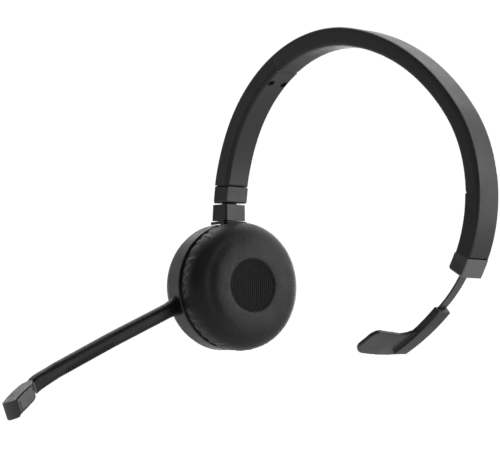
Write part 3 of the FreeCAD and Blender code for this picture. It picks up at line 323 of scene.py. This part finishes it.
# Pieces given a material unlike the others of their slot: a glossy finish on the end cap, and painted shade
# on the cup chassis, which is a darker copy of the cup plastic for the shade under the ring's edge.
FINISHES_AND_PAINTED_SHADE = {"end_cap": "cap_gloss", "cup_chassis": "chassis_painted_shade"}
SOFT_EDGES = {  # millimetres
    "arm_outer_shell": 0.18, "arm_inner_cover": 0.18, "outer_strip": 0.15, "temple_guide": 0.2,
    "end_cap": 0.2,
    "upper_hinge_block": 0.2, "lower_hinge_block": 0.25, "boom_ring": 0.2, "mic_end_cover": 0.15,
    "mic_housing": 0.12, "outer_cover": 0.12, "call_button": 0.2, "volume_up_button": 0.2,
    "volume_down_button": 0.2, "mute_button": 0.2, "power_slider": 0.1,
}


def dress_nodes():
    """Every CAD node gets its slot's material or its own override; the nodes in SOFT_EDGES also get slightly
    softened edges.
    """
    slots = {s["node"]: s["material_slot"] for s in frame["record"]["subparts"]}
    for name, obj in NODES.items():
        material = MATERIALS[FINISHES_AND_PAINTED_SHADE.get(name, slots[name])]
        if obj.material_slots:
            for material_slot in obj.material_slots:
                material_slot.material = material
        else:
            obj.data.materials.append(material)
        if name in SOFT_EDGES:
            bevel = obj.modifiers.new("soft_edges", "BEVEL")
            bevel.width = SOFT_EDGES[name] * MM
            bevel.segments = 3
            bevel.limit_method = "ANGLE"
            bevel.angle_limit = math.radians(40)


# ---- mesh helpers --------------------------------------------------------------------------------
def mesh_object(name, verts, faces, slot_name):
    mesh = bpy.data.meshes.new(name)
    mesh.from_pydata([tuple(v) for v in verts], [], faces)
    mesh.update()
    bm = bmesh.new()
    bm.from_mesh(mesh)
    bmesh.ops.recalc_face_normals(bm, faces=bm.faces)
    bm.to_mesh(mesh)
    bm.free()
    mesh.polygons.foreach_set("use_smooth", [True] * len(mesh.polygons))
    obj = bpy.data.objects.new(name, mesh)
    bpy.context.scene.collection.objects.link(obj)
    mesh.materials.append(MATERIALS[slot_name])
    return obj


def apply_modifiers(obj):
    bpy.context.view_layer.update()
    graph = bpy.context.evaluated_depsgraph_get()
    mesh = bpy.data.meshes.new_from_object(obj.evaluated_get(graph))
    obj.modifiers.clear()
    old = obj.data
    obj.data = mesh
    bpy.data.meshes.remove(old)


def softened_copy(node, name, slot_name, voxel, smoothing, steps):
    """Copy of a CAD solid with a continuous skin, rounded as soft material rounds."""
    source = NODES[node]
    obj = bpy.data.objects.new(name, source.data.copy())
    bpy.context.scene.collection.objects.link(obj)
    obj.data.materials.clear()
    obj.data.materials.append(MATERIALS[slot_name])
    remesh = obj.modifiers.new("skin", "REMESH")
    remesh.mode = "VOXEL"
    remesh.voxel_size = voxel
    remesh.use_smooth_shade = True
    smooth = obj.modifiers.new("soften", "SMOOTH")
    smooth.factor = smoothing
    smooth.iterations = steps
    apply_modifiers(obj)
    obj.data.polygons.foreach_set("use_smooth", [True] * len(obj.data.polygons))
    return obj


# ---- ear cushion ---------------------------------------------------------------------------------
CUSHION_PROFILE = [  # (radius, height along the cup's axis), from the gathered lip round to the opening
    (29.9, 7.0), (30.0, 6.3), (30.2, 5.8), (30.5, 5.6), (30.8, 5.8), (31.0, 6.4), (31.1, 7.3), (31.2, 8.4),
    (31.2, 9.6), (31.1, 11.0), (30.85, 12.4), (30.45, 13.7), (29.85, 14.9), (29.05, 16.0), (28.05, 17.0),
    (26.9, 17.85), (25.6, 18.55), (24.2, 19.1), (22.7, 19.55), (21.1, 19.9), (19.5, 20.15), (17.9, 20.35),
    (16.4, 20.45), (15.1, 20.5), (14.1, 20.48), (13.3, 20.4), (12.8, 20.2), (12.55, 19.8), (12.45, 19.2),
    (12.4, 18.4),
]
PLEATS = 38
LIP = 5.7             # height of the gathered lip
INFLATE_FRAMES = 20
INFLATE_LIMIT = 0.7   # furthest that a point of the cushion may move, in millimetres
PLEAT_INSIDE = 24.0   # pleats are made outside this radius
FOLD_RADIUS = 24.0
CLOTH_RADIUS = 12.7
CLOTH_HEIGHT = 19.55
CLOTH_SAG = 0.35


def cushion_grid(segments):
    verts, faces = [], []
    rows = len(CUSHION_PROFILE)
    for i in range(segments):
        a = 2 * math.pi * i / segments
        for radius, height in CUSHION_PROFILE:
            verts.append(cup_point(radius * math.cos(a), radius * math.sin(a), height))
    for i in range(segments):
        j = (i + 1) % segments
        for k in range(rows - 1):
            faces.append((i * rows + k, j * rows + k, j * rows + k + 1, i * rows + k + 1))
    return verts, faces


def inflate_cushion(obj):
    """Short cloth simulation with inner pressure; lip and opening are held."""
    rows = len(CUSHION_PROFILE)
    group = obj.vertex_groups.new(name="held")
    held = [v.index for v in obj.data.vertices if v.index % rows in (0, 1, rows - 1, rows - 2, rows - 3)]
    group.add(held, 1.0, "REPLACE")
    rest = [v.co.copy() for v in obj.data.vertices]
    cloth = obj.modifiers.new("cloth", "CLOTH")
    cloth.settings.quality = 6
    cloth.settings.mass = 0.15
    cloth.settings.tension_stiffness = 25
    cloth.settings.compression_stiffness = 25
    cloth.settings.bending_stiffness = 0.6
    cloth.settings.vertex_group_mass = "held"
    cloth.settings.use_pressure = True
    cloth.settings.uniform_pressure_force = 4
    cloth.settings.effector_weights.gravity = 0
    cloth.point_cache.frame_start = 1
    cloth.point_cache.frame_end = INFLATE_FRAMES
    for step in range(1, INFLATE_FRAMES + 1):
        bpy.context.scene.frame_set(step)
    graph = bpy.context.evaluated_depsgraph_get()
    moved = [v.co.copy() for v in obj.evaluated_get(graph).data.vertices]
    obj.modifiers.clear()
    bpy.context.scene.frame_set(1)
    limit = INFLATE_LIMIT * MM
    for vertex, start, end in zip(obj.data.vertices, rest, moved):
        step = end - start
        if step.length > limit:
            step = step.normalized() * limit
        vertex.co = start + step
    obj.data.update()


def gather(obj):
    """Pleats where the cover is drawn in behind the rim, a fold on the left, slack ripples in front."""
    random.seed(11)
    step = 2 * math.pi / PLEATS
    places = [step * (i + random.uniform(-0.22, 0.22)) for i in range(PLEATS)]
    strengths = [random.uniform(0.55, 1.0) for i in range(PLEATS)]
    lengths = [random.uniform(3.5, 9.5) for i in range(PLEATS)]
    places.append(places[0] + 2 * math.pi)
    for vertex in obj.data.vertices:
        local = vertex.co - CUP_CENTRE
        x, y, z = local.dot(CUP_T) / MM, local.z / MM, local.dot(CUP_N) / MM
        radius, angle = math.hypot(x, y), math.atan2(y, x)
        if radius < 1:
            continue
        outward = (CUP_T * x + Vector((0, 0, 1)) * y) / radius
        if radius > PLEAT_INSIDE:
            turned = angle - 0.09 * math.sin(3 * angle + 1) * (z - LIP) / 10
            turned = (turned - places[0]) % (2 * math.pi) + places[0]
            i = max(k for k in range(PLEATS) if places[k] <= turned)
            share = (turned - places[i]) / (places[i + 1] - places[i])
            near = i if share < 0.5 else (i + 1) % PLEATS
            pinch = (1 - math.sin(math.pi * share) ** 0.55) * strengths[near]
            swell = math.sin(math.pi * share)
            reach = max(0.0, min(1.0, 1 - (z - LIP) / lengths[near]))
            rim = max(0.0, min(1.0, 1 - (z - LIP) / 3.2))
            vertex.co += outward * (0.35 * swell * reach - 1.1 * pinch * reach) * MM
            vertex.co += CUP_N * (2.1 * pinch * rim) * MM
        left = max(0.0, -math.cos(angle + 0.1)) ** 1.6
        fold = math.exp(-((radius - FOLD_RADIUS) / 2.4) ** 2) * left
        vertex.co -= (outward * 0.1 + CUP_N * 0.5) * fold * (1.0 if z > 12 else 0.0) * MM
        front = max(0.0, min(1.0, (z - 17.5) / 2)) * max(0.0, min(1.0, (radius - 13.0) / 3))
        ripple = math.sin(angle * 5 + 0.8) * 0.08 + math.sin(angle * 11 + radius * 0.4) * 0.04
        vertex.co += CUP_N * ripple * front * MM
    obj.data.update()


def ear_cushion():
    verts, faces = cushion_grid(200)
    obj = mesh_object("Ear_cushion_cover", verts, faces, "leatherette")
    inflate_cushion(obj)
    subdivide = obj.modifiers.new("finer", "SUBSURF")
    subdivide.levels = subdivide.render_levels = 2
    apply_modifiers(obj)
    gather(obj)
    obj.data.polygons.foreach_set("use_smooth", [True] * len(obj.data.polygons))
    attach(obj, "ear_cup")
    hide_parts("ear_cushion")


def speaker_cloth():
    """Slightly sagging cloth disc, tucked under the cushion's inner edge."""
    verts, faces = [cup_point(0, 0, CLOTH_HEIGHT)], []
    rings, segments = 14, 96
    for k in range(1, rings + 1):
        radius = CLOTH_RADIUS * k / rings
        height = CLOTH_HEIGHT + CLOTH_SAG * (k / rings) ** 2
        for i in range(segments):
            a = 2 * math.pi * i / segments
            verts.append(cup_point(radius * math.cos(a), radius * math.sin(a), height))
    for i in range(segments):
        j = (i + 1) % segments
        faces.append((0, 1 + i, 1 + j))
        for k in range(rings - 1):
            a, b = 1 + k * segments, 1 + (k + 1) * segments
            faces.append((a + i, b + i, b + j, a + j))
    obj = mesh_object("Speaker_cloth", verts, faces, "mesh_cloth")
    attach(obj, "ear_cup")
    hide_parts("cushion_cloth")


# ---- soft band pieces ----------------------------------------------------------------------------
def rail(crown, sides):
    """Arcs (centre, radius, high station, low station) of one of the band's outlines."""
    arcs = []
    for sign, turns in ((1, sides[0]), (-1, sides[1])):
        station, point, side = 0.0, Vector((crown[0], 0, crown[1])), []
        for radius, turn in turns:
            centre = point - heading(station) * radius
            new = station + sign * turn
            side.append((centre, radius, max(station, new), min(station, new)))
            point, station = centre + heading(new) * radius, new
        arcs = side[::-1] + arcs if sign > 0 else arcs + side
    return arcs


def heading(station):
    return Vector((-math.sin(math.radians(station)), 0, math.cos(math.radians(station))))


def on_rail(arcs, station, depth=0.0):
    for centre, radius, high, low in arcs:
        if low - 1e-6 <= station <= high + 1e-6:
            return centre + heading(station) * (radius - depth)


OUTER = rail((-0.7, 8.8), ([(75.7, 63.7), (98.5, 28.3)], [(75.7, 12.4), (110.5, 41.4), (66.4, 70.0)]))
INNER = rail((0.0, 0.0), ([(66.0, 64.4), (89.4, 28.0)], [(66.0, 8.8), (97.8, 44.2), (59.4, 70.5)]))


CHANNEL_START = -79.0  # stations below this have the channel that clears the temple strip
CHANNEL_FLOOR = 61.1   # radius of the channel's floor, about the centre of OUTER's last arc
CHANNEL_HALF = 2.7     # half its width


def crown_pad():
    """Soft strip under the band: crowned inner face, rolled edges, pinched ends, channel for the strip."""
    start, end, steps = 28.9, -89.9, 220
    half = 6.85
    verts, faces = [], []
    for i in range(steps + 1):
        station = start + (end - start) * i / steps
        inner, outer = on_rail(INNER, station), on_rail(OUTER, station, 2.2)
        axis = (outer - inner)
        height = axis.length
        axis.normalize()
        ends = min(i, steps - i)
        pinch = 0.45 * max(0.0, 1 - ends / 3.0) ** 2
        section = [(-half + 0.02, height), (-half, height - 0.25), (-half, height - 0.6)]
        section += [(-half, 3.0), (-half, 1.7)]
        for k in range(1, 6):
            a = math.radians(90 * k / 6)
            section.append((-half + 1.3 * (1 - math.cos(a)), 1.5 - 1.3 * math.sin(a)))
        for k in range(9):
            y = -half + 1.4 + (2 * half - 2.8) * k / 8
            section.append((y, 0.12 * (abs(y) / half) ** 2))
        section += [(-y, h) for y, h in section[9::-1]]
        channel = height - 0.02
        if station < CHANNEL_START:
            channel = CHANNEL_FLOOR - (inner - OUTER[-1][0]).length - pinch
        section += [(CHANNEL_HALF, height), (CHANNEL_HALF, channel)]
        section += [(-CHANNEL_HALF, channel), (-CHANNEL_HALF, height)]
        rows = len(section)
        for y, h in section:
            lift = pinch if h < height - 1 else 0.0
            side = 1 - (0.25 * pinch / half)
            verts.append((inner + axis * (h + lift) + Vector((0, y * side, 0))) * MM)
    for i in range(steps):
        for k in range(rows):
            n = (k + 1) % rows
            faces.append((i * rows + k, i * rows + n, (i + 1) * rows + n, (i + 1) * rows + k))
    faces.append(tuple(range(rows)))
    faces.append(tuple(steps * rows + k for k in range(rows - 1, -1, -1)))
    obj = mesh_object("Band_pad_skin", verts, faces, "pad_rubber")
    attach(obj, "headband")
    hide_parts("crown_pad")


def temple_pad():
    names = ("temple_pad", "Temple_pad_skin", "temple_rubber")
    obj = softened_copy(*names, voxel=0.0003, smoothing=0.5, steps=7)
    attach(obj, "temple_arm")
    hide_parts("temple_pad")


def boom_sleeve():
    """Ribbed sleeve between the boom and the microphone's neck, copied from the CAD sleeve with its
    placement baked in.
    """
    source = NODES["flex_sleeve"]
    obj = bpy.data.objects.new("Flex_sleeve_skin", source.data.copy())
    bpy.context.scene.collection.objects.link(obj)
    obj.data.materials.clear()
    obj.data.materials.append(MATERIALS["sleeve_rubber"])
    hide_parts("flex_sleeve", "gooseneck_wire")
    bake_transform(obj)


# ---- surroundings --------------------------------------------------------------------------------
SENSOR_WIDTH = 36  # this and the lens in millimetres
LENS = 154.8
CAMERA_PLACE = Vector((703.1, -710.3, -158.3)) * MM
CAMERA_RIGHT = Vector((0.6820, 0.7314, 0.0))
CAMERA_BACK = Vector((0.7293, -0.6801, -0.0750))


def camera():
    data = bpy.data.cameras.new("Camera")
    data.sensor_width = SENSOR_WIDTH
    data.lens = LENS
    data.clip_start = 0.05
    data.clip_end = 50
    obj = bpy.data.objects.new("Camera", data)
    back = CAMERA_BACK.normalized()
    up = back.cross(CAMERA_RIGHT).normalized()
    right = up.cross(back).normalized()
    matrix = Matrix((right, up, back)).transposed().to_4x4()
    matrix.translation = CAMERA_PLACE
    obj.matrix_world = matrix
    bpy.context.scene.collection.objects.link(obj)
    bpy.context.scene.camera = obj


LIGHTS = [  # name, place, size and power
    ("Top", (-0.35, 0.45, 1.1), (1.6, 1.2), 13),
    ("Back", (-0.3, 1.3, 0.25), (1.8, 1.2), 10),
    ("Backdrop", (-1.1, 1.05, -0.1), (1.7, 0.9), 17),
    ("Right", (1.32, 0.75, -0.1), (1.0, 1.6), 16),
    ("Right_back", (0.65, 0.95, 0.6), (1.0, 1.0), 3.5),
    ("Left", (-1.35, -0.4, 0.2), (0.8, 1.0), 2.0),
    ("Upper_left", (-1.1, 0.25, 0.7), (0.8, 0.8), 1.8),
    ("Front_fill", (0.6, -1.2, 0.7), (0.9, 0.7), 0.8),
]
MIDDLE = Vector((0, 0, -0.08))
WORLD_GREY = (0.10, 0.10, 0.102, 1)  # light from the surroundings
SEEN_WHITE = 1.05                    # strength of the white that the camera sees
FLOOR_GREY = (0.22, 0.22, 0.22, 1)
FLOOR_GLOW = 0.42                    # light that the floor sends up to the headset
FLOOR_SIZE = 12                      # half a side, in metres
FLOOR_DROP = 0.25                    # depth of the floor under the headset, in metres


def area_light(name, place, size, power):
    data = bpy.data.lights.new(name, "AREA")
    data.shape = "RECTANGLE"
    data.size, data.size_y = size
    data.energy = power
    obj = bpy.data.objects.new(name, data)
    obj.location = place
    obj.rotation_euler = (MIDDLE - Vector(place)).to_track_quat("-Z", "Y").to_euler()
    obj.visible_camera = False
    bpy.context.scene.collection.objects.link(obj)


def surroundings():
    scene = bpy.context.scene
    scene.view_settings.view_transform = "Standard"
    world = bpy.data.worlds.new("Studio")
    scene.world = world
    world.use_nodes = True
    tree = world.node_tree
    background = tree.nodes["Background"]
    background.inputs["Color"].default_value = WORLD_GREY
    seen = tree.nodes.new("ShaderNodeBackground")
    seen.inputs["Color"].default_value = (1, 1, 1, 1)
    seen.inputs["Strength"].default_value = SEEN_WHITE
    path = tree.nodes.new("ShaderNodeLightPath")
    mix = tree.nodes.new("ShaderNodeMixShader")
    tree.links.new(path.outputs["Is Camera Ray"], mix.inputs["Fac"])
    tree.links.new(background.outputs[0], mix.inputs[1])
    tree.links.new(seen.outputs[0], mix.inputs[2])
    tree.links.new(mix.outputs[0], tree.nodes["World Output"].inputs["Surface"])
    for light in LIGHTS:
        area_light(*light)
    floor_mesh = bpy.data.meshes.new("Floor")
    low = CAD_BOX[0][2] - FLOOR_DROP
    corners = [(x * FLOOR_SIZE, y * FLOOR_SIZE, low) for x, y in ((-1, -1), (1, -1), (1, 1), (-1, 1))]
    floor_mesh.from_pydata(corners, [], [(0, 1, 2, 3)])
    floor = bpy.data.objects.new("Floor", floor_mesh)
    scene.collection.objects.link(floor)
    material = bpy.data.materials.new("Floor_white")
    material.use_nodes = True
    nodes, links = material.node_tree.nodes, material.node_tree.links
    shader = nodes["Principled BSDF"]
    shader.inputs["Base Color"].default_value = FLOOR_GREY
    shader.inputs["Roughness"].default_value = 0.9
    shader.inputs["Emission Color"].default_value = (1, 1, 1, 1)
    shader.inputs["Emission Strength"].default_value = FLOOR_GLOW
    glow = nodes.new("ShaderNodeEmission")
    glow.inputs["Strength"].default_value = SEEN_WHITE
    both = nodes.new("ShaderNodeMixShader")
    links.new(nodes.new("ShaderNodeLightPath").outputs["Is Camera Ray"], both.inputs["Fac"])
    links.new(shader.outputs[0], both.inputs[1])
    links.new(glow.outputs[0], both.inputs[2])
    links.new(both.outputs[0], nodes["Material Output"].inputs["Surface"])
    floor_mesh.materials.append(material)


camera()
dress_nodes()
ear_cushion()
speaker_cloth()
crown_pad()
temple_pad()
boom_sleeve()
surroundings()
